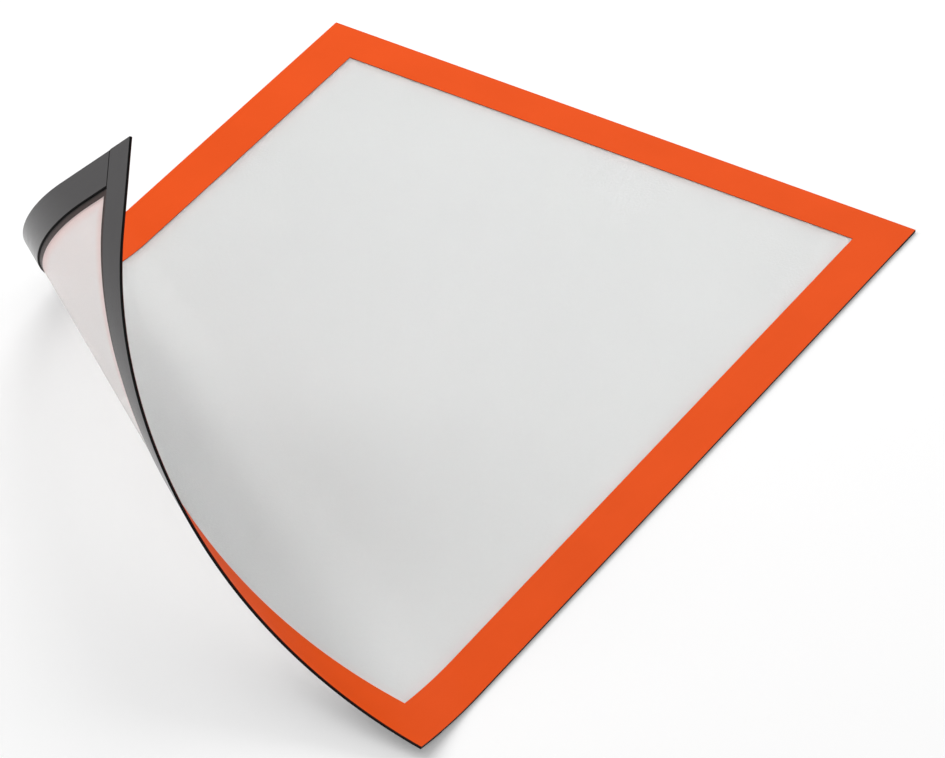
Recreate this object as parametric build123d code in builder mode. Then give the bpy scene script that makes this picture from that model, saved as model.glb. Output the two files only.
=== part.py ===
from build123d import *

import os

# Magnetic photo frame for one A4 sheet, lying face up with one corner peeled back.
#
# The frame is a flexible laminate of three layers: an orange border foil on the front, a clear
# window film behind it, and four magnet strips on the back that leave a shallow recess for the
# sheet. X runs along the long side, Y along the short side, Z points out of the front, and the
# origin is the middle of the back face. The free corner is at -X, +Y.
#
# The bend is a chain of narrow flat plates. Each plate turns on the one before it about a fold
# line in the front face, so the chain rolls up and lies down flat without stretching.

# Insert sheet and the room around it
insert_length = 297.0
insert_width = 210.0
insert_clearance = 0.5

# Magnet strips, border foil and window film
strip_width = 13.0
strip_thickness = 0.6
strip_joint_gap = 0.2
film_thickness = 0.2
border_thickness = 0.25
border_overlap = 2.5

# Peeled corner: where the bend's first and last fold lines cross the sides. The left and bottom
# distances are from the free corner, and the right one is from the far corner, where the right
# side meets the bottom side. One end of the fold line walks along the left side while the other
# walks down the right side, reaches the far corner at its share of the bend, and then walks along
# the bottom side.
curl_start_left = 187.5
curl_start_right = 34.5
curl_end_left = 47.5
curl_end_bottom = 33.5
far_corner_share = 0.136
curl_angle = 119.3
fold_count = 10
fold_gap = 0.1

# Sizes that follow from the values above
frame_length = insert_length + 2 * (insert_clearance + strip_width)
frame_width = insert_width + 2 * (insert_clearance + strip_width)
window_length = insert_length - 2 * border_overlap
window_width = insert_width - 2 * border_overlap
film_back = strip_thickness
border_back = film_back + film_thickness
front_face = border_back + border_thickness
fold_angle = curl_angle / fold_count
free_corner = Vector(-frame_length / 2, frame_width / 2)
far_corner = Vector(-frame_length / 2, -frame_width / 2)
reach = frame_length + frame_width


def fold_ends(number):
    """Where fold line `number`, counted from 1 at the panel, crosses the flat frame's sides."""
    share = (number - 0.5) / fold_count
    left_end = free_corner + Vector(curl_start_left + share * (curl_end_left - curl_start_left), 0)
    if share < far_corner_share:
        far_end = far_corner + Vector(curl_start_right * (1 - share / far_corner_share), 0)
    else:
        bottom_share = (share - far_corner_share) / (1 - far_corner_share)
        far_end = far_corner + Vector(0, bottom_share * (frame_width - curl_end_bottom))
    return left_end, far_end


def fold_plane(number, height=0):
    """Plane on a fold line of the flat frame: X along the fold, Y towards the free corner."""
    left_end, far_end = fold_ends(number)
    return Plane(origin=far_end + Vector(0, 0, height), x_dir=left_end - far_end, z_dir=(0, 0, 1))


def plate_location(number):
    """Where plate `number` sits: 0 is the flat panel, and each fold lifts what lies beyond it."""
    location = Location()
    for fold in range(1, number + 1):
        hinge = fold_plane(fold, front_face).location
        location = location * hinge * Rotation(X=fold_angle) * hinge.inverse()
    return location


def sheet_plane(number, height):
    """Sketch plane of plate `number`, in the flat sheet's own coordinates, at a layer's height."""
    return Plane(plate_location(number)).offset(height)


def beyond(plane, point):
    """How far a point of the flat frame lies past a fold line, towards the free corner."""
    return (point - plane.origin).dot(plane.y_dir)


def keep_side(number, low, high):
    """Cut the sketch in progress to what lies between two distances beyond fold line `number`."""
    plane = fold_plane(number)
    corners = [(-reach, low), (reach, low), (reach, high), (-reach, high)]
    points = [plane.from_local_coords((along, across, 0)) for along, across in corners]
    Polygon(*[(point.X, point.Y) for point in points], align=None, mode=Mode.INTERSECT)


def keep_plate(number):
    """Cut the sketch in progress to plate `number`, half a gap off its fold lines."""
    if number > 0:
        keep_side(number, fold_gap / 2, reach)
    if number < fold_count:
        keep_side(number + 1, -reach, -fold_gap / 2)


def meets_plate(number, centre, length, width):
    """Whether a rectangle of the flat sheet has any part in plate `number`."""
    x, y = centre
    corners = [Vector(x + i * length / 2, y + j * width / 2) for i in (-1, 1) for j in (-1, 1)]
    inside = True
    if number > 0:
        inside = max(beyond(fold_plane(number), corner) for corner in corners) > fold_gap
    if number < fold_count:
        nearest = min(beyond(fold_plane(number + 1), corner) for corner in corners)
        inside = inside and nearest < -fold_gap
    return inside


def write(piece, name, number):
    """Label a finished piece and write it: the panel's part of a layer, or one plate's."""
    label = f"{name}_panel" if number == 0 else f"{name}_{number:02d}"
    piece.part.label = label
    export_step(piece.part, f"parts/{label}.step")


os.makedirs("parts", exist_ok=True)

# Border foil: a die-cut ring on the front
for number in range(fold_count + 1):
    with BuildPart() as border_foil:
        with BuildSketch(sheet_plane(number, border_back)):
            Rectangle(frame_length, frame_width)
            Rectangle(window_length, window_width, mode=Mode.SUBTRACT)
            keep_plate(number)
        extrude(amount=border_thickness)
    write(border_foil, "border_foil", number)

# Window film: a full sheet behind the border
for number in range(fold_count + 1):
    with BuildPart() as window_film:
        with BuildSketch(sheet_plane(number, film_back)):
            Rectangle(frame_length, frame_width)
            keep_plate(number)
        extrude(amount=film_thickness)
    write(window_film, "window_film", number)

# Magnet strips: the short ones run to the corners, and the long ones butt between them
end_strip_x = (frame_length - strip_width) / 2
side_strip_y = (frame_width - strip_width) / 2
side_strip_length = frame_length - 2 * (strip_width + strip_joint_gap)
magnet_strips = {
    "top_magnet_strip": ((end_strip_x, 0), strip_width, frame_width),
    "bottom_magnet_strip": ((-end_strip_x, 0), strip_width, frame_width),
    "left_magnet_strip": ((0, side_strip_y), side_strip_length, strip_width),
    "right_magnet_strip": ((0, -side_strip_y), side_strip_length, strip_width),
}
for name, (centre, length, width) in magnet_strips.items():
    for number in range(fold_count + 1):
        if not meets_plate(number, centre, length, width):
            continue
        with BuildPart() as magnet_strip:
            with BuildSketch(sheet_plane(number, 0)):
                with Locations(centre):
                    Rectangle(length, width)
                keep_plate(number)
            extrude(amount=strip_thickness)
        write(magnet_strip, name, number)

print(f"frame {frame_length:g} x {frame_width:g} mm, {front_face:g} mm thick, {fold_angle:.2f} deg per fold")
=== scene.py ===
# %% [markdown]
# A magnetic photo frame is a flexible laminate: an orange border foil on the front, a frosted window
# film behind it and four magnet strips on the back. It lies on a table with one corner peeled back.
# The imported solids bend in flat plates, so this lesson builds the same layers again as smooth sheets.
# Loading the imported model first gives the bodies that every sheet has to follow.

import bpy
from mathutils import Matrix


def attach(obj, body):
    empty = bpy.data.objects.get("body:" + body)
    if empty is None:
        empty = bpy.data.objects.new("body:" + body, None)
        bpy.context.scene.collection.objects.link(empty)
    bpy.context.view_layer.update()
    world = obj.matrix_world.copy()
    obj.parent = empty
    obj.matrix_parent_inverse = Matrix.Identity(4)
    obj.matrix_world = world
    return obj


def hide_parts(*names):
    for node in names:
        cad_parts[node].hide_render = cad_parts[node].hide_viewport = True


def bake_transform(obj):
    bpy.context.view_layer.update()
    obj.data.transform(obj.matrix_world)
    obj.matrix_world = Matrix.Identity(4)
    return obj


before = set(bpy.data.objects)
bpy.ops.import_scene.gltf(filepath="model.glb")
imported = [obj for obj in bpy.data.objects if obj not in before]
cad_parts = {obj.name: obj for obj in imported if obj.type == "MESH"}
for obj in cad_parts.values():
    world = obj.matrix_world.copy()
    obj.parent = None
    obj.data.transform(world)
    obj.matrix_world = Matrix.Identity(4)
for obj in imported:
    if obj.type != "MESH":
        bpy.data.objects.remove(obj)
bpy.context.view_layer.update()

# %% Tools
from math import cos, radians, sin

import bmesh
import bpy
from mathutils import Matrix, Quaternion, Vector

# %% [markdown]
# Every size is a named value in metres, so a number is never repeated in two cells. The layers are
# thin: the strips are the thickest. A hair of room between layers stands for the glue, and keeps two
# faces from lying in exactly the same place, which would flicker in a render.

# %% Sizes of the flat frame
frame_length = 0.324
frame_width = 0.237
border_width = 0.016
strip_width = 0.013
strip_joint_gap = 0.0002
strip_thickness = 0.0006
film_thickness = 0.0002
foil_thickness = 0.00025
glue_room = 0.00001
strip_top = strip_thickness - glue_room
film_bottom = strip_thickness
film_top = film_bottom + film_thickness
foil_bottom = film_top + glue_room
front_face = film_top + foil_thickness
print("frame", frame_length, "x", frame_width, "thick", round(front_face, 6))

# %% [markdown]
# The photograph was taken with a long lens from in front of the peeled corner, looking down. The camera
# comes early because everything that follows is judged through it. It is placed by the point that it
# looks at, the direction and the distance, which is easier to read than three rotation angles.

# %% Camera
view_target = Vector((0.00948, -0.03251, front_face))
view_azimuth = radians(-58.83)
view_elevation = radians(37.92)
view_distance = 2.1143
view_roll = radians(0.49)
lens = 240.8
sensor_width = 36

towards_camera = Vector((
    sin(view_azimuth) * cos(view_elevation),
    -cos(view_azimuth) * cos(view_elevation),
    sin(view_elevation),
))
camera = bpy.data.objects.new("camera", bpy.data.cameras.new("camera"))
bpy.context.scene.collection.objects.link(camera)
camera.location = view_target + view_distance * towards_camera
level = (-towards_camera).to_track_quat("-Z", "Y")
camera.rotation_mode = "QUATERNION"
camera.rotation_quaternion = level @ Quaternion((0, 0, 1), view_roll)
camera.data.lens = lens
camera.data.sensor_width = sensor_width
camera.data.sensor_fit = "HORIZONTAL"
bpy.context.scene.camera = camera
print("camera at", [round(value, 3) for value in camera.location])

# %% [markdown]
# A sheet that bends without stretching stays straight along fold lines. Here the fold line walks from
# its first place to its last while the sheet turns evenly, which makes a smooth roll that opens towards
# one side like a cone. One end of the line walks along the left side. The other end walks down the right
# side to the far corner and then along the bottom side.

# %% The bend: where the fold line is
curl_start_left = 0.1875
curl_start_right = 0.0345
curl_end_left = 0.0475
curl_end_bottom = 0.0335
far_corner_share = 0.136
halvings = 30
free_corner = Vector((-frame_length / 2, frame_width / 2, 0))
far_corner = Vector((-frame_length / 2, -frame_width / 2, 0))


def fold_line(share):
    """Both ends of the fold line on the flat sheet, at a share of the bend from 0 to 1."""
    left_reach = curl_start_left + share * (curl_end_left - curl_start_left)
    left_end = free_corner + Vector((left_reach, 0, 0))
    if share < far_corner_share:
        right_reach = curl_start_right * (1 - share / far_corner_share)
        return left_end, far_corner + Vector((right_reach, 0, 0))
    bottom_share = (share - far_corner_share) / (1 - far_corner_share)
    bottom_reach = bottom_share * (frame_width - curl_end_bottom)
    return left_end, far_corner + Vector((0, bottom_reach, 0))


def across_fold(share):
    """Direction on the flat sheet square to the fold line, towards the free corner."""
    left_end, far_end = fold_line(share)
    along = (left_end - far_end).normalized()
    return Vector((-along.y, along.x, 0))


def share_of(point):
    """Share of the bend whose fold line passes through a point of the flat sheet."""
    spot = Vector((point.x, point.y, 0))
    low, high = 0.0, 1.0
    for end, side in ((low, -1), (high, 1)):
        if side * (spot - fold_line(end)[1]).dot(across_fold(end)) >= 0:
            return end
    for _ in range(halvings):
        middle = (low + high) / 2
        if (spot - fold_line(middle)[1]).dot(across_fold(middle)) > 0:
            low = middle
        else:
            high = middle
    return (low + high) / 2


print("free corner's share:", share_of(free_corner), "far corner's:", round(share_of(far_corner), 3))

# %% [markdown]
# Rolling the sheet is a chain of small turns, one for each row of the mesh, about axes in the front face.
# A bend modifier could roll a sheet too, but only about parallel axes. Adding the turns up once gives a
# table, and a point between two rows takes the turn below it and part of the next.

# %% The bend: rolling a point
fold_count = 10
rows_per_fold = 24
curl_angle = radians(119.3)
row_count = fold_count * rows_per_fold
row_angle = curl_angle / row_count


def small_turn(share, angle):
    """Turn about the fold line at a share of the bend, in the front face."""
    left_end, far_end = fold_line(share)
    to_axis = Matrix.Translation(far_end + Vector((0, 0, front_face)))
    return to_axis @ Matrix.Rotation(angle, 4, left_end - far_end) @ to_axis.inverted()


row_turns = [Matrix.Identity(4)]
for row in range(row_count):
    row_turns.append(row_turns[-1] @ small_turn((row + 0.5) / row_count, row_angle))


def rolled(share):
    """Where the sheet has got to at a share of the bend."""
    row = min(int(share * row_count), row_count)
    rest = share * row_count - row
    return row_turns[row] @ small_turn((row + rest / 2) / row_count, rest * row_angle)


print("tip of the free corner:", [round(value, 4) for value in rolled(1) @ free_corner])

# %% [markdown]
# Each layer starts as a flat blank, the way it leaves the die. A rectangle comes from a grid of one face, and
# the thickness from one extrusion. The border foil is that rectangle with its middle inset and taken out. A
# fine bevel on the edges that show takes the sharpness off and catches light.

# %% Flat blank of the foil
edge_round = 0.00008
sharp_angle = radians(50)
touching = 1e-6


def rectangle(length, width, x=0, y=0, z=0):
    """One flat face, centred at x and y, at height z."""
    sheet = bmesh.new()
    bmesh.ops.create_grid(sheet, x_segments=1, y_segments=1, size=0.5)
    bmesh.ops.scale(sheet, vec=(length, width, 1), verts=sheet.verts)
    bmesh.ops.translate(sheet, vec=(x, y, z), verts=sheet.verts)
    return sheet


def thicken(sheet, height):
    """Raise the flat sheet to a closed blank of that height."""
    raised = bmesh.ops.extrude_face_region(sheet, geom=list(sheet.faces), use_keep_orig=True)
    moved = [part for part in raised["geom"] if isinstance(part, bmesh.types.BMVert)]
    bmesh.ops.translate(sheet, vec=(0, 0, height), verts=moved)
    bmesh.ops.recalc_face_normals(sheet, faces=sheet.faces)


def round_edges(sheet, height):
    """Bevel the rim edges that lie at a height."""
    rim = []
    for edge in sheet.edges:
        level_with_rim = all(abs(vert.co.z - height) < touching for vert in edge.verts)
        if level_with_rim and edge.calc_face_angle(0) > sharp_angle:
            rim.append(edge)
    bmesh.ops.bevel(sheet, geom=rim, offset=edge_round, segments=2, profile=0.5,
                    affect="EDGES", material=-1)


def describe(name, blank):
    """Print a blank's faces, whether it is closed, and its volume."""
    closed = all(edge.is_manifold for edge in blank.edges)
    volume = round(blank.calc_volume() * 1e6, 2)
    print(name, "faces", len(blank.faces), "closed", closed, "volume cm3", volume)


foil_blank = rectangle(frame_length, frame_width, z=foil_bottom)
bmesh.ops.inset_individual(foil_blank, faces=foil_blank.faces, thickness=border_width, use_even_offset=True)
middle = min(foil_blank.faces, key=lambda face: face.calc_center_median().length)
bmesh.ops.delete(foil_blank, geom=[middle], context="FACES")
thicken(foil_blank, front_face - foil_bottom)
round_edges(foil_blank, front_face)
describe("border foil", foil_blank)

# %% [markdown]
# The film is a full rectangle. Its blank keeps an inset, because the margin that is glued to the border looks
# different from the window. The glue stops a little short of the window.

# %% Flat blank of the film
glue_setback = 0.0004
glued_width = border_width - glue_setback

film_blank = rectangle(frame_length, frame_width, z=film_bottom)
bmesh.ops.inset_individual(film_blank, faces=film_blank.faces, thickness=glued_width, use_even_offset=True)
thicken(film_blank, film_top - film_bottom)
describe("window film", film_blank)

# %% [markdown]
# The short strips run to the corners, and the long ones butt between them. The long strips get a chamfer at
# the back of their ends, so that the joint with a short strip shows as a line.

# %% Flat blanks of the strips
joint_chamfer = 0.0003
long_strips = ("left_magnet_strip", "right_magnet_strip")


def chamfer_ends(sheet, length):
    """Chamfer the back edges at both ends of a strip of that length along X."""
    ends = []
    for edge in sheet.edges:
        at_end = all(abs(vert.co.x) > length / 2 - touching for vert in edge.verts)
        if at_end and all(abs(vert.co.z) < touching for vert in edge.verts):
            ends.append(edge)
    bmesh.ops.bevel(sheet, geom=ends, offset=joint_chamfer, segments=1, profile=0.5,
                    affect="EDGES", material=-1)


end_strip_x = (frame_length - strip_width) / 2
side_strip_y = (frame_width - strip_width) / 2
side_strip_length = frame_length - 2 * (strip_width + strip_joint_gap)
strip_blanks = {
    "top_magnet_strip": rectangle(strip_width, frame_width, x=end_strip_x),
    "bottom_magnet_strip": rectangle(strip_width, frame_width, x=-end_strip_x),
    "left_magnet_strip": rectangle(side_strip_length, strip_width, y=side_strip_y),
    "right_magnet_strip": rectangle(side_strip_length, strip_width, y=-side_strip_y),
}
for name, blank in strip_blanks.items():
    thicken(blank, strip_top)
    if name in long_strips:
        chamfer_ends(blank, side_strip_length)
    round_edges(blank, 0)
    describe(name, blank)

# %% [markdown]
# A sheet looks different on its front, its back and its cut edges. One more number is kept for what only
# one layer has: the film's margin that is glued down, or the foil's edge around the window. The faces get
# their numbers now, while the blank is flat and the sides are easy to tell apart. Cutting and rolling keep
# them, so each number can stand for one material later.

# %% Sides of the blanks
front, back, cut_edge, cut_end, own = range(5)
flat_enough = 0.8


def off_the_rim(face):
    """How far a face's middle lies inside the frame's outer rim."""
    spot = face.calc_center_median()
    return min(frame_length / 2 - abs(spot.x), frame_width / 2 - abs(spot.y))


for blank in (foil_blank, film_blank, *strip_blanks.values()):
    for face in blank.faces:
        if face.normal.z > flat_enough:
            face.material_index = front
        elif face.normal.z < -flat_enough:
            face.material_index = back
        else:
            face.material_index = cut_edge
for face in film_blank.faces:
    if off_the_rim(face) < glued_width:
        face.material_index = own
for face in foil_blank.faces:
    if face.material_index == cut_edge and off_the_rim(face) > border_width / 2:
        face.material_index = own
for name, blank in {"film's glued margin": film_blank, "foil's window edge": foil_blank}.items():
    print(name, "faces", sum(face.material_index == own for face in blank.faces))

# %% [markdown]
# The bend has ten bodies, and a sheet can only blend between two of them, so each layer is cut along the
# same lines into a flat panel and ten bands. The first band starts on the flat panel, at a reach before its
# fold line that is counted in half widths of the band, and the last one goes on into the flat tip. Cutting
# planes are the right tool: one plane with its waste cleared trims a band, and many planes that clear nothing
# give it its rows. The open ends are filled, so that each band is a closed piece.

# %% Cutting bands
end_reach = 3.0
end_rows = 12
merge_distance = 1e-8
# The bands at both ends of the bend: share of the bend there, and the side on which the sheet is flat
end_bands = {1: (0, -1), fold_count: (1, 1)}


def fold_share(number):
    """Share of the bend at a band's own fold line."""
    return (number - 0.5) / fold_count


def half_width(number):
    """Half of a band's mean width, square to its fold line."""
    share = fold_share(number)
    ends = [*fold_line((number - 1) / fold_count), *fold_line(number / fold_count)]
    reaches = [abs((end - fold_line(share)[1]).dot(across_fold(share))) for end in ends]
    return sum(reaches) / len(reaches)


def cut(sheet, share, beside=0, **clear):
    """Cut a flat sheet along the fold line at a share of the bend, or at a distance beside it."""
    parts = list(sheet.verts) + list(sheet.edges) + list(sheet.faces)
    across = across_fold(share)
    bmesh.ops.bisect_plane(sheet, geom=parts, dist=merge_distance,
                           plane_co=fold_line(share)[1] + beside * across, plane_no=across, **clear)


def trimmed_band(blank, number, last):
    """The part of a blank in band number, or its panel for 0, with its cut ends filled."""
    sheet = blank.copy()
    panel_end = -end_reach * half_width(1)
    if number == 0:
        cut(sheet, fold_share(1), panel_end, clear_outer=True)
    elif number == 1:
        cut(sheet, fold_share(1), panel_end, clear_inner=True)
    else:
        cut(sheet, (number - 1) / fold_count, clear_inner=True)
    if 0 < number < last:
        cut(sheet, number / fold_count, clear_outer=True)
    open_edges = [edge for edge in sheet.edges if edge.is_boundary]
    for face in bmesh.ops.holes_fill(sheet, edges=open_edges, sides=0)["faces"]:
        face.material_index = cut_end
    bmesh.ops.recalc_face_normals(sheet, faces=sheet.faces)
    return sheet


def add_rows(sheet, number):
    """Cut a band into rows that are fine enough to roll."""
    for row in range(1, rows_per_fold):
        cut(sheet, (number - 1 + row / rows_per_fold) / fold_count)
    if number in end_bands:
        end_share, side = end_bands[number]
        cut(sheet, end_share)
        for row in range(end_rows):
            reach = 1 + (end_reach - 1) * row / end_rows
            cut(sheet, fold_share(number), side * reach * half_width(number))


for number in range(1, fold_count + 1):
    print("band", number, "is", round(2000 * half_width(number), 1), "mm wide")

# %% [markdown]
# The flat position goes into a UV map before a band is rolled, and patterns then follow the sheet.
#
# The bodies take up the bend in ten steps, and the sheet should not show them. A band should therefore take
# only about the middle half of its blend, from a quarter to three quarters, where the blend is almost a
# straight line, so that neighbours meet at nearly the same height when the sheet is laid flat. On the panel
# and in the tip the blend runs in and out. Its reach to either side of the fold line is counted in half
# widths of the band, as above. This cell only works out where each blend starts and ends, and prints its
# length; nothing here ties a band to the bodies.

# %% Rolling bands
blend_reach = 2.88


def keep_flat_place(sheet):
    """Store each corner's flat position, in metres, as the UV map named flat."""
    flat = sheet.loops.layers.uv.new("flat")
    for face in sheet.faces:
        for loop in face.loops:
            loop[flat].uv = loop.vert.co.xy


def roll(sheet):
    """Move every point of a flat sheet to its place in the bend."""
    for vert in sheet.verts:
        vert.co = rolled(share_of(vert.co)) @ vert.co


def blend_points(number):
    """Start and end of the blend around a band's fold line, square to it."""
    middle_turn = rolled(fold_share(number))
    middle_point = middle_turn @ fold_line(fold_share(number))[1]
    across = half_width(number) * (middle_turn.to_3x3() @ across_fold(fold_share(number)))
    before = end_reach if number == 1 else blend_reach
    behind = end_reach if number == fold_count else blend_reach
    return middle_point - before * across, middle_point + behind * across


for number in range(1, fold_count + 1):
    start, end = blend_points(number)
    print("band", number, "blends over", round((end - start).length * 1000, 1), "mm")

# %% [markdown]
# Foil, film and magnet strip are three kinds of plastic, but all have a fine pressed surface and a little
# unevenness in tone. That effect is made once as a node group, and each material uses it at its own scale.
# The group reads the flat UV map, so the grain runs on from band to band.

# %% Shared finish: pressed grain
def link(tree, source, target):
    tree.links.new(source, target)


def grain_group():
    """Fine pressed grain and broad tone, from the flat UV map."""
    tree = bpy.data.node_groups.new("pressed grain", "ShaderNodeTree")
    for name, default in (("Grain Scale", 2500.0), ("Tone Scale", 30.0), ("Stretch", 1.0)):
        socket = tree.interface.new_socket(name, in_out="INPUT", socket_type="NodeSocketFloat")
        socket.default_value = default
    for name in ("Grain", "Tone"):
        tree.interface.new_socket(name, in_out="OUTPUT", socket_type="NodeSocketFloat")
    inputs = tree.nodes.new("NodeGroupInput")
    outputs = tree.nodes.new("NodeGroupOutput")
    place = tree.nodes.new("ShaderNodeUVMap")
    place.uv_map = "flat"
    stretch = tree.nodes.new("ShaderNodeCombineXYZ")
    stretch.inputs["Y"].default_value = 1
    stretch.inputs["Z"].default_value = 1
    link(tree, inputs.outputs["Stretch"], stretch.inputs["X"])
    stretched = tree.nodes.new("ShaderNodeVectorMath")
    stretched.operation = "MULTIPLY"
    link(tree, place.outputs["UV"], stretched.inputs[0])
    link(tree, stretch.outputs["Vector"], stretched.inputs[1])
    for name, detail in (("Grain", 2.0), ("Tone", 4.0)):
        noise = tree.nodes.new("ShaderNodeTexNoise")
        noise.inputs["Detail"].default_value = detail
        noise.inputs["Roughness"].default_value = 0.55
        link(tree, inputs.outputs[name + " Scale"], noise.inputs["Scale"])
        link(tree, stretched.outputs["Vector"], noise.inputs["Vector"])
        link(tree, noise.outputs["Fac"], outputs.inputs[name])
    return tree


pressed_grain = grain_group()
print("node group:", pressed_grain.name)

# %% [markdown]
# Two finishes change with the distance from the frame's rim. Beside the border the film's back gets a
# painted glow of the border's orange, and the glued margin gets a painted shadow at the foot of the strips.
# The distance is worked out from the flat UV map, once, as a second group.

# %% Shared finish: distance from the rim
def rim_group():
    """Distance of a point of the flat sheet from the frame's nearest side, in metres."""
    tree = bpy.data.node_groups.new("rim distance", "ShaderNodeTree")
    tree.interface.new_socket("Distance", in_out="OUTPUT", socket_type="NodeSocketFloat")
    outputs = tree.nodes.new("NodeGroupOutput")
    place = tree.nodes.new("ShaderNodeUVMap")
    place.uv_map = "flat"
    parts = tree.nodes.new("ShaderNodeSeparateXYZ")
    link(tree, place.outputs["UV"], parts.inputs["Vector"])
    nearest = tree.nodes.new("ShaderNodeMath")
    nearest.operation = "MINIMUM"
    for slot, (axis, side) in enumerate((("X", frame_length), ("Y", frame_width))):
        from_middle = tree.nodes.new("ShaderNodeMath")
        from_middle.operation = "ABSOLUTE"
        link(tree, parts.outputs[axis], from_middle.inputs[0])
        from_side = tree.nodes.new("ShaderNodeMath")
        from_side.operation = "SUBTRACT"
        from_side.inputs[0].default_value = side / 2
        link(tree, from_middle.outputs["Value"], from_side.inputs[1])
        link(tree, from_side.outputs["Value"], nearest.inputs[slot])
    link(tree, nearest.outputs["Value"], outputs.inputs["Distance"])
    return tree


rim_distance = rim_group()
print("node group:", rim_distance.name)

# %% [markdown]
# A material is one Principled shader. Its colour drifts between two close shades, its roughness follows the
# grain, and the grain also gives the bump. Values that are the same all over stay on the shader itself. The
# foil comes first: an orange skin that hardly shines and a dark back. The outer cut edge and the cut edge
# around the window are one die cut; the outer one is painted darker, as shade, and the window's is lighter.

# %% Foil finishes
noise_low = 0.3
noise_high = 0.7


def varied(tree, source, low, high, target):
    """Spread a noise, which seldom leaves its middle range, over a range of values for a socket."""
    spread = tree.nodes.new("ShaderNodeMapRange")
    spans = (("From Min", noise_low), ("From Max", noise_high), ("To Min", low), ("To Max", high))
    for name, value in spans:
        spread.inputs[name].default_value = value
    link(tree, source, spread.inputs["Value"])
    link(tree, spread.outputs["Result"], target)


def finish(name, shades, roughness, bump, grain_scale, tone_scale=30.0, stretch=1.0, **plain):
    """A plastic finish with two shades, a range of roughness and a pressed grain."""
    material = bpy.data.materials.new(name)
    material.use_nodes = True
    tree = material.node_tree
    shader = tree.nodes["Principled BSDF"]
    for socket, value in plain.items():
        shader.inputs[socket.replace("_", " ")].default_value = value
    grain = tree.nodes.new("ShaderNodeGroup")
    grain.node_tree = pressed_grain
    grain.inputs["Grain Scale"].default_value = grain_scale
    grain.inputs["Tone Scale"].default_value = tone_scale
    grain.inputs["Stretch"].default_value = stretch
    blend = tree.nodes.new("ShaderNodeMix")
    blend.data_type = "RGBA"
    blend.inputs["A"].default_value = (*shades[0], 1)
    blend.inputs["B"].default_value = (*shades[1], 1)
    varied(tree, grain.outputs["Tone"], 0, 1, blend.inputs["Factor"])
    link(tree, blend.outputs["Result"], shader.inputs["Base Color"])
    varied(tree, grain.outputs["Grain"], *roughness, shader.inputs["Roughness"])
    relief = tree.nodes.new("ShaderNodeBump")
    relief.inputs["Strength"].default_value = bump[0]
    relief.inputs["Distance"].default_value = bump[1]
    link(tree, grain.outputs["Grain"], relief.inputs["Height"])
    link(tree, relief.outputs["Normal"], shader.inputs["Normal"])
    return material


orange_skin = finish("orange skin", ((0.75, 0.076, 0.005), (0.79, 0.082, 0.0065)), (0.46, 0.56),
                     (0.25, 0.00005), 2200, Specular_IOR_Level=0.03)
# The outer cut edge's near black is painted shade; the same cut around the window, below, is lighter.
foil_edge_painted_shade = finish("foil cut edge, painted shade", ((0.06, 0.01, 0.006), (0.08, 0.014, 0.008)), (0.5, 0.6),
                   (0.2, 0.00003), 3000, Specular_IOR_Level=0.1)
window_edge = finish("foil window edge", ((0.4, 0.065, 0.02), (0.44, 0.075, 0.025)), (0.5, 0.6),
                     (0.2, 0.00003), 3000, Specular_IOR_Level=0.1)
foil_back = finish("foil back", ((0.05, 0.04, 0.036), (0.06, 0.048, 0.043)), (0.45, 0.55),
                   (0.2, 0.00003), 2500, Specular_IOR_Level=0.2)
print("materials:", [material.name for material in bpy.data.materials])

# %% [markdown]
# The film is clear plastic with a frosted skin. Most of its light comes through it, which the shader's
# transmission does, and a rough surface frosts it. Its back looks milkier. The margin that is glued to the
# foil lets no light through. The ends where one band meets the next are made invisible, because the real
# film has no joint there.

# %% Film finishes
painted_glow_width = 0.005
painted_foot_shade_width = 0.0003
painted_foot_shade_end = 0.0011


def fade_from_rim(material, colour, start, end):
    """Give a finish another colour up to a distance from the rim, and its own from a second one on."""
    tree = material.node_tree
    shader = tree.nodes["Principled BSDF"]
    own_colour = shader.inputs["Base Color"].links[0].from_socket
    rim = tree.nodes.new("ShaderNodeGroup")
    rim.node_tree = rim_distance
    fade = tree.nodes.new("ShaderNodeMapRange")
    fade.interpolation_type = "SMOOTHSTEP"
    for name, value in (("From Min", start), ("From Max", end), ("To Min", 1), ("To Max", 0)):
        fade.inputs[name].default_value = value
    blend = tree.nodes.new("ShaderNodeMix")
    blend.data_type = "RGBA"
    blend.inputs["B"].default_value = (*colour, 1)
    link(tree, rim.outputs["Distance"], fade.inputs["Value"])
    link(tree, fade.outputs["Result"], blend.inputs["Factor"])
    link(tree, own_colour, blend.inputs["A"])
    link(tree, blend.outputs["Result"], shader.inputs["Base Color"])


frosted_film = finish("frosted film", ((0.885, 0.94, 0.94), (0.9, 0.955, 0.955)), (0.38, 0.54),
                      (0.7, 0.0001), 1100, Transmission_Weight=0.95)
# The back's pinkish shades are painted orange glow from the border.
film_back_painted_glow = finish("film back, painted orange glow", ((0.955, 0.905, 0.895), (0.97, 0.92, 0.91)), (0.4, 0.52),
                   (0.4, 0.00006), 1300, Transmission_Weight=0.6, Specular_IOR_Level=0.2)
# Painted glow: the film's back turns pinker towards the border, as if lit by its orange.
fade_from_rim(film_back_painted_glow, (0.965, 0.77, 0.745), border_width, border_width + painted_glow_width)
glued_film_and_foot_shade = finish("film on the foil, painted foot shade", ((0.034, 0.019, 0.017), (0.042, 0.025, 0.022)), (0.4, 0.5),
                    (0.2, 0.00003), 1300, Specular_IOR_Level=0.12)
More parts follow.
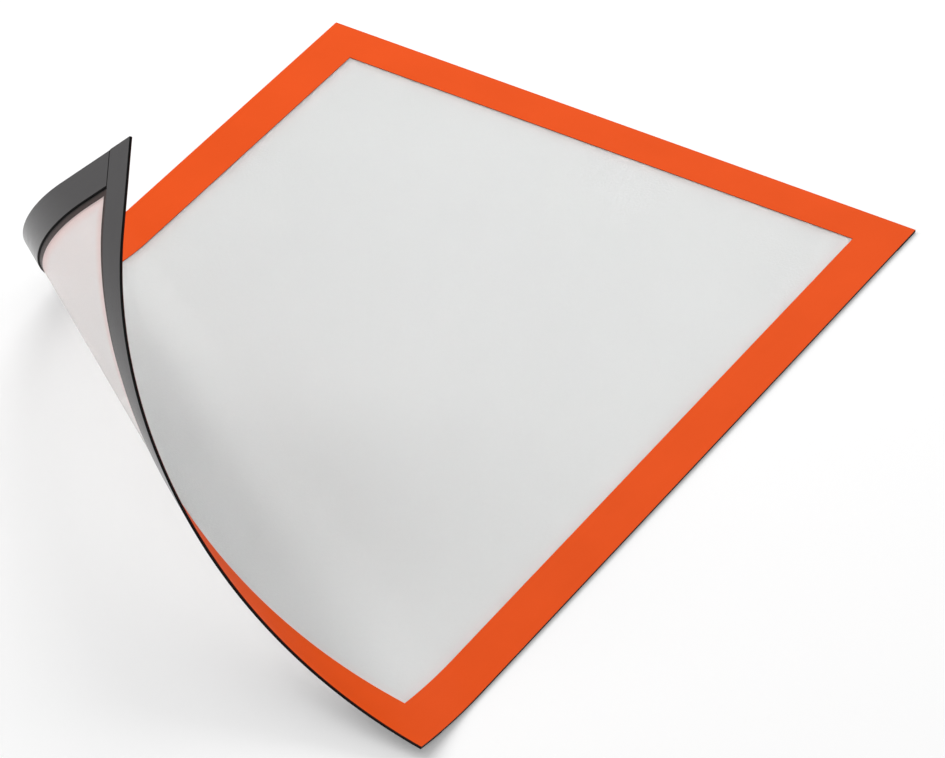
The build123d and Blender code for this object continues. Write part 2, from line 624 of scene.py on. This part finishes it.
# Painted shadow of the strips: the glued margin is near black to just beyond their inner edges and fades out
# within a millimetre; the film's outer cut edge turns near black with it.
fade_from_rim(glued_film_and_foot_shade, (0.004, 0.003, 0.003), strip_width + painted_foot_shade_width, strip_width + painted_foot_shade_end)
film_joint = finish("film joint", ((0.8, 0.8, 0.8), (0.82, 0.82, 0.82)), (0.4, 0.5), (0.1, 0.00003), 2500,
                    Alpha=0)
print("materials:", len(bpy.data.materials))

# %% [markdown]
# The strips are black magnetic rubber with a satin sheen. Such strips are extruded, so their tone runs in
# streaks along the strip: the pattern is drawn out along X for the long strips and along Y for the short
# ones. Their cut edges are dull.

# %% Strip finishes
strip_shades = ((0.0125, 0.0108, 0.0116), (0.0155, 0.0138, 0.0146))
strip_sheen = {"Specular_IOR_Level": 0.2, "Specular_Tint": (1, 0.95, 0.98, 1)}
long_strip = finish("long strip rubber", strip_shades, (0.17, 0.23), (0.08, 0.00003), 1500,
                    tone_scale=400, stretch=0.04, **strip_sheen)
short_strip = finish("short strip rubber", strip_shades, (0.17, 0.23), (0.08, 0.00003), 60,
                     tone_scale=16, stretch=25, **strip_sheen)
strip_edge = finish("strip cut edge", ((0.004, 0.0036, 0.0036), (0.007, 0.0064, 0.0064)), (0.55, 0.7),
                    (0.2, 0.00003), 2500, Specular_IOR_Level=0.08)
print("materials:", len(bpy.data.materials))

# %% [markdown]
# Now each blank becomes its pieces. A panel rides on the flat body, and a band keeps the place where it was
# rolled, baked into its mesh. The materials come in the order of the sides: front, back, cut edge, the
# hidden ends where one band meets the next, and the layer's own extra. The foil and the film reach over the
# whole frame, so each has a panel and all ten bands.

# %% Border foil and window film
smooth_angle = radians(15)


def make_piece(blank, layer, number, last, materials):
    """Cut one piece of a layer and roll it; hang a panel on its body and keep a band where it was rolled."""
    label = f"{layer}_panel" if number == 0 else f"{layer}_{number:02d}"
    sheet = trimmed_band(blank, number, last)
    if number > 0:
        add_rows(sheet, number)
    keep_flat_place(sheet)
    roll(sheet)
    mesh = bpy.data.meshes.new(f"{label}_smooth")
    sheet.to_mesh(mesh)
    sheet.free()
    for material in materials:
        mesh.materials.append(material)
    mesh.shade_smooth()
    mesh.set_sharp_from_angle(angle=smooth_angle)
    piece = bpy.data.objects.new(f"{label}_smooth", mesh)
    bpy.context.scene.collection.objects.link(piece)
    if number == 0:
        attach(piece, "panel")
    else:
        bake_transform(piece)
    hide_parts(label)
    return piece


def make_layer(blank, layer, first, last, materials):
    """All pieces of a layer, from its first band or panel to its last."""
    made = [make_piece(blank, layer, number, last, materials) for number in range(first, last + 1)]
    print(layer, "pieces", len(made), "faces", sum(len(piece.data.polygons) for piece in made))


make_layer(foil_blank, "border_foil", 0, fold_count,
           (orange_skin, foil_back, foil_edge_painted_shade, foil_edge_painted_shade, window_edge))
make_layer(film_blank, "window_film", 0, fold_count,
           (frosted_film, film_back_painted_glow, glued_film_and_foot_shade, film_joint, glued_film_and_foot_shade))

# %% [markdown]
# The top strip lies on the flat panel alone, and the right one ends in the first band. The left strip runs
# from the panel through the whole bend, and the bottom one lies wholly in it.

# %% Magnet strips
strip_bands = {
    "top_magnet_strip": (0, 0, short_strip),
    "bottom_magnet_strip": (1, fold_count, short_strip),
    "left_magnet_strip": (0, fold_count, long_strip),
    "right_magnet_strip": (0, 1, long_strip),
}
for layer, (first, last, rubber) in strip_bands.items():
    make_layer(strip_blanks[layer], layer, first, last,
               (rubber, rubber, strip_edge, strip_edge))

# %% [markdown]
# The photograph has a plain white ground and soft light from above. A wide pale floor takes the shadow, and
# rays from the camera, straight, in gloss or through the film, find it a little whiter than it is.

# %% Floor
floor_size = 8.0
floor_gap = 0.0002
floor_colour = (0.97, 0.97, 0.97, 1)
floor_roughness = 0.9
white_share = 0.2

floor_sheet = rectangle(floor_size, floor_size, z=-floor_gap)
floor_mesh = bpy.data.meshes.new("floor")
floor_sheet.to_mesh(floor_mesh)
floor = bpy.data.objects.new("floor", floor_mesh)
bpy.context.scene.collection.objects.link(floor)


def seen_rays(tree):
    """1 for rays that see the ground: from the camera, in gloss or through the film."""
    rays = tree.nodes.new("ShaderNodeLightPath")
    seen = rays.outputs["Is Camera Ray"]
    for name in ("Is Glossy Ray", "Is Transmission Ray"):
        either = tree.nodes.new("ShaderNodeMath")
        either.operation = "MAXIMUM"
        link(tree, seen, either.inputs[0])
        link(tree, rays.outputs[name], either.inputs[1])
        seen = either.outputs["Value"]
    return seen


floor_paint = bpy.data.materials.new("floor paint")
floor_paint.use_nodes = True
tree = floor_paint.node_tree
paint = tree.nodes["Principled BSDF"]
paint.inputs["Base Color"].default_value = floor_colour
paint.inputs["Roughness"].default_value = floor_roughness
paint.inputs["Specular IOR Level"].default_value = 0
glow = tree.nodes.new("ShaderNodeEmission")
share = tree.nodes.new("ShaderNodeMath")
share.operation = "MULTIPLY"
share.inputs[1].default_value = white_share
link(tree, seen_rays(tree), share.inputs[0])
whitened = tree.nodes.new("ShaderNodeMixShader")
link(tree, share.outputs["Value"], whitened.inputs["Fac"])
link(tree, paint.outputs["BSDF"], whitened.inputs[1])
link(tree, glow.outputs["Emission"], whitened.inputs[2])
link(tree, whitened.outputs["Shader"], tree.nodes["Material Output"].inputs["Surface"])
floor_mesh.materials.append(floor_paint)
print("floor", floor_size, "m wide")

# %% [markdown]
# Two soft lamps and a sky that is brighter overhead light the frame at a plain level. The larger lamp
# stands on the left, so that the shade lies inside the bend, and the smaller one behind the frame keeps that
# shade soft. The sheen on the strips needs no lamp: at their low angle they mirror the pale floor.

# %% Light
horizon_level = 0.31
zenith_level = 0.64
softboxes = {
    "left softbox": (Vector((-0.6, 2.6, 2.4)), 2.2, 58.0),
    "back softbox": (Vector((1.4, 0.6, 1.25)), 1.0, 16.5),
}

world = bpy.data.worlds.new("studio")
bpy.context.scene.world = world
world.use_nodes = True
tree = world.node_tree
direction = tree.nodes.new("ShaderNodeTexCoord")
height = tree.nodes.new("ShaderNodeSeparateXYZ")
fade = tree.nodes.new("ShaderNodeMapRange")
for name, value in (("To Min", horizon_level), ("To Max", zenith_level)):
    fade.inputs[name].default_value = value
link(tree, direction.outputs["Generated"], height.inputs["Vector"])
link(tree, height.outputs["Z"], fade.inputs["Value"])
link(tree, fade.outputs["Result"], tree.nodes["Background"].inputs["Strength"])
tree.nodes["Background"].inputs["Color"].default_value = (1, 1, 1, 1)

for name, (place, size, power) in softboxes.items():
    lamp = bpy.data.objects.new(name, bpy.data.lights.new(name, "AREA"))
    lamp.data.shape = "DISK"
    lamp.data.size = size
    lamp.data.energy = power
    lamp.location = place
    lamp.rotation_mode = "QUATERNION"
    lamp.rotation_quaternion = (-place).to_track_quat("-Z", "Y")
    bpy.context.scene.collection.objects.link(lamp)
    print(name, power, "W")
bpy.context.scene.view_settings.view_transform = "Standard"
